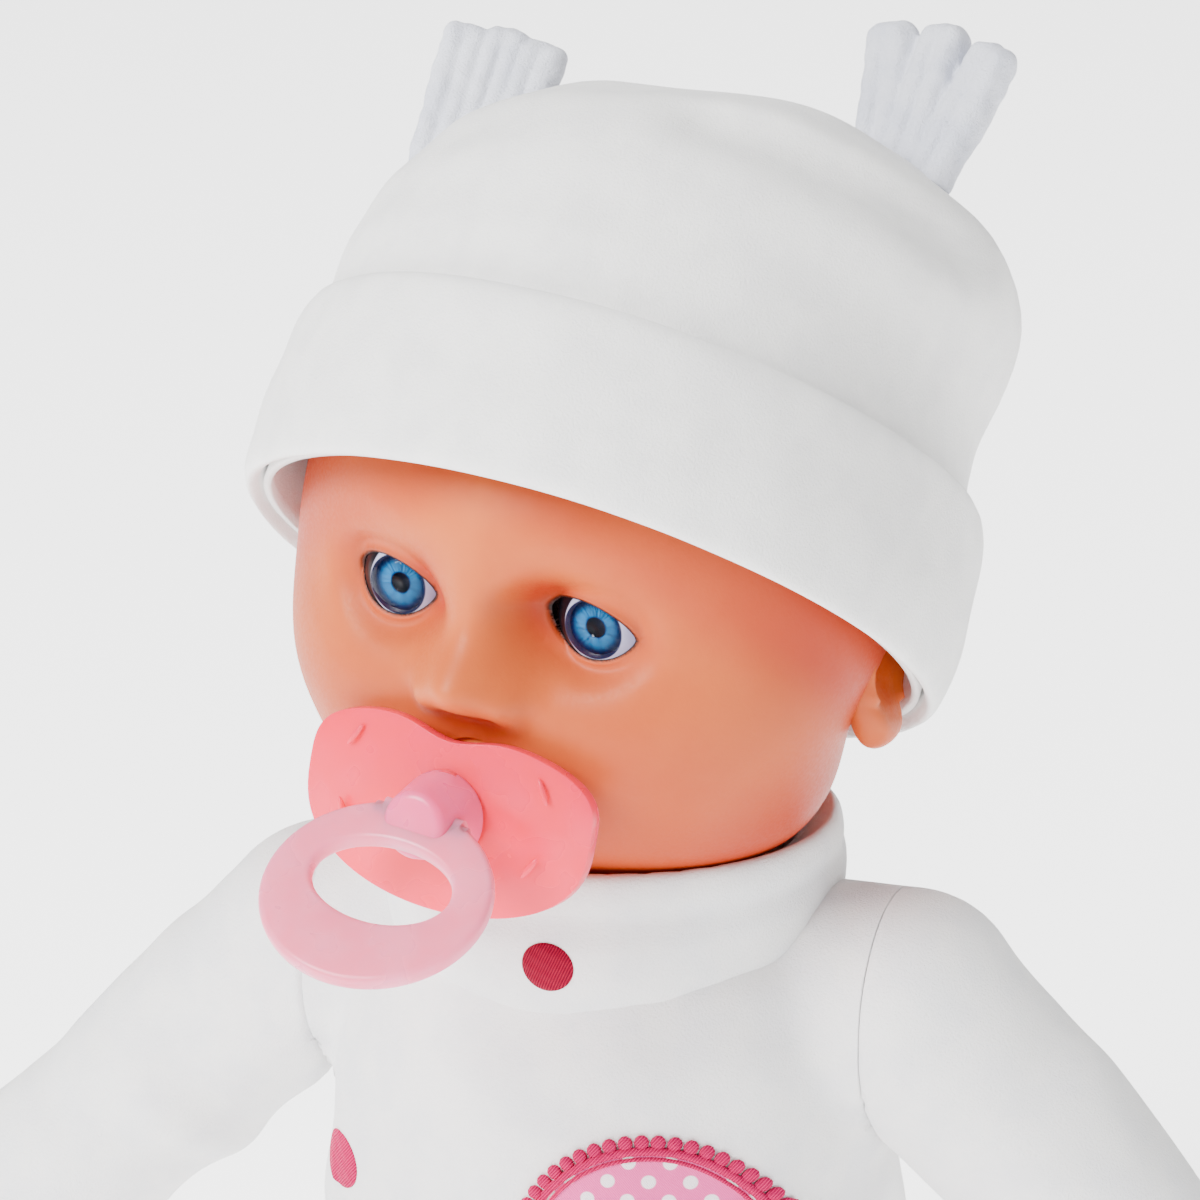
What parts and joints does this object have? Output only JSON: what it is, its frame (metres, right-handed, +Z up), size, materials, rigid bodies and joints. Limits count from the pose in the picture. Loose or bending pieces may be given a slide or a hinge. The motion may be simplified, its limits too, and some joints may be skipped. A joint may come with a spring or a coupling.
{
  "type": "interactive baby doll",
  "caption": "Seated soft-bodied baby doll in a white suit and tasselled hat, with a vinyl head that turns, a pull-out pacifier and a sound module in the tummy.",
  "frame": {"origin": "on the floor, on the flat underside of the body between the legs, below the neck's axis", "axes": "+Z up, the torso faces -Y, the doll's left hand is at +X"},
  "size_m": [0.2648, 0.1915, 0.259],
  "materials": {
    "white_velour": "matte",
    "felt": "matte",
    "stuffed_cloth": "matte",
    "pink_print": "matte",
    "crimson_thread": "satin",
    "vinyl_skin": "satin",
    "pink_plastic": "gloss",
    "eye_white": "gloss",
    "eye_iris": "gloss",
    "eye_lens": "gloss",
    "steel": "satin",
    "white_plastic": "matte",
    "black_plastic": "matte",
    "board": "matte",
    "lead": "matte"
  },
  "bodies": {
    "torso": {"torso_body": "stuffed_cloth", "suit_torso": "white_velour", "suit_collar": "white_velour", "suit_patch": "pink_print", "suit_dots": "crimson_thread", "suit_back_strip": "white_velour", "neck_tie": "white_plastic", "case_front": "white_plastic", "case_back": "white_plastic", "case_screws": "steel", "speaker": "black_plastic", "speaker_cone": "black_plastic", "circuit_board": "board", "button_spring": "steel", "cells": "steel", "cell_contacts": "steel", "cell_door": "white_plastic", "door_screw": "steel", "sensor_lead_foot": "lead"},
    "head": {"head_shell": "vinyl_skin", "neck_plug": "white_plastic", "eye_ball_left": "eye_white", "eye_ball_right": "eye_white", "eye_iris_left": "eye_iris", "eye_iris_right": "eye_iris", "eye_lens_left": "eye_lens", "eye_lens_right": "eye_lens", "mouth_cup": "vinyl_skin", "mouth_sensor": "black_plastic", "sensor_lead": "lead"},
    "hat": {"hat_crown": "white_velour", "hat_brim": "white_velour", "hat_tassel_left": "felt", "hat_tassel_right": "felt"},
    "pacifier": {"pacifier_shield": "pink_plastic", "pacifier_teat": "pink_plastic", "pacifier_magnet": "steel"},
    "ring": {"pacifier_ring": "pink_plastic"},
    "arm_left": {"arm_body_left": "stuffed_cloth", "suit_sleeve_left": "white_velour", "wrist_tie_left": "white_plastic"},
    "arm_right": {"arm_body_right": "stuffed_cloth", "suit_sleeve_right": "white_velour", "wrist_tie_right": "white_plastic"},
    "hand_left": {"hand_left": "vinyl_skin"},
    "hand_right": {"hand_right": "vinyl_skin"},
    "leg_left": {"leg_body_left": "stuffed_cloth", "suit_leg_left": "white_velour"},
    "leg_right": {"leg_body_right": "stuffed_cloth", "suit_leg_right": "white_velour"},
    "button": {"tummy_button": "pink_plastic"},
    "switch": {"power_switch": "black_plastic"}
  },
  "joints": [
    {"name": "head_turn", "type": "hinge", "parent": "torso", "child": "head", "pos_m": [0, 0, 0.12], "axis": [0, 0, 1], "range_deg": [-37, 53]},
    {"name": "hat_lift", "type": "slide", "parent": "head", "child": "hat", "axis": [0.1237, 0.5762, 0.8079], "range_m": [0, 0.09]},
    {"name": "pacifier_pull", "type": "slide", "parent": "head", "child": "pacifier", "axis": [-0.1306, -0.9816, 0.139], "range_m": [0, 0.03]},
    {"name": "ring_swing", "type": "hinge", "parent": "pacifier", "child": "ring", "pos_m": [-0.01027, -0.05966, 0.14864], "axis": [0.9816, -0.1478, -0.1212], "range_deg": [-50, 44]},
    {"name": "shoulder_left", "type": "hinge", "parent": "torso", "child": "arm_left", "pos_m": [0.051, 0, 0.1045], "axis": [-1, 0, 0], "range_deg": [-40, 150]},
    {"name": "shoulder_right", "type": "hinge", "parent": "torso", "child": "arm_right", "pos_m": [-0.051, 0, 0.1045], "axis": [-1, 0, 0], "range_deg": [-40, 150]},
    {"name": "wrist_left", "type": "hinge", "parent": "arm_left", "child": "hand_left", "pos_m": [0.10855, 0, 0.04893], "axis": [0.7193, 0, -0.6947], "range_deg": [-45, 45]},
    {"name": "wrist_right", "type": "hinge", "parent": "arm_right", "child": "hand_right", "pos_m": [-0.10855, 0, 0.04893], "axis": [-0.7193, 0, -0.6947], "range_deg": [-45, 45]},
    {"name": "hip_left", "type": "hinge", "parent": "torso", "child": "leg_left", "pos_m": [0.027, -0.012, 0.0237], "axis": [1, 0, 0], "range_deg": [-8, 90]},
    {"name": "hip_right", "type": "hinge", "parent": "torso", "child": "leg_right", "pos_m": [-0.027, -0.012, 0.0237], "axis": [1, 0, 0], "range_deg": [-8, 90]},
    {"name": "tummy_press", "type": "slide", "parent": "torso", "child": "button", "axis": [0, 1, 0], "range_m": [0, 0.002], "stiffness_N_per_m": 300},
    {"name": "power_slide", "type": "slide", "parent": "torso", "child": "switch", "axis": [0, 0, 1], "range_m": [0, 0.003]}
  ]
}
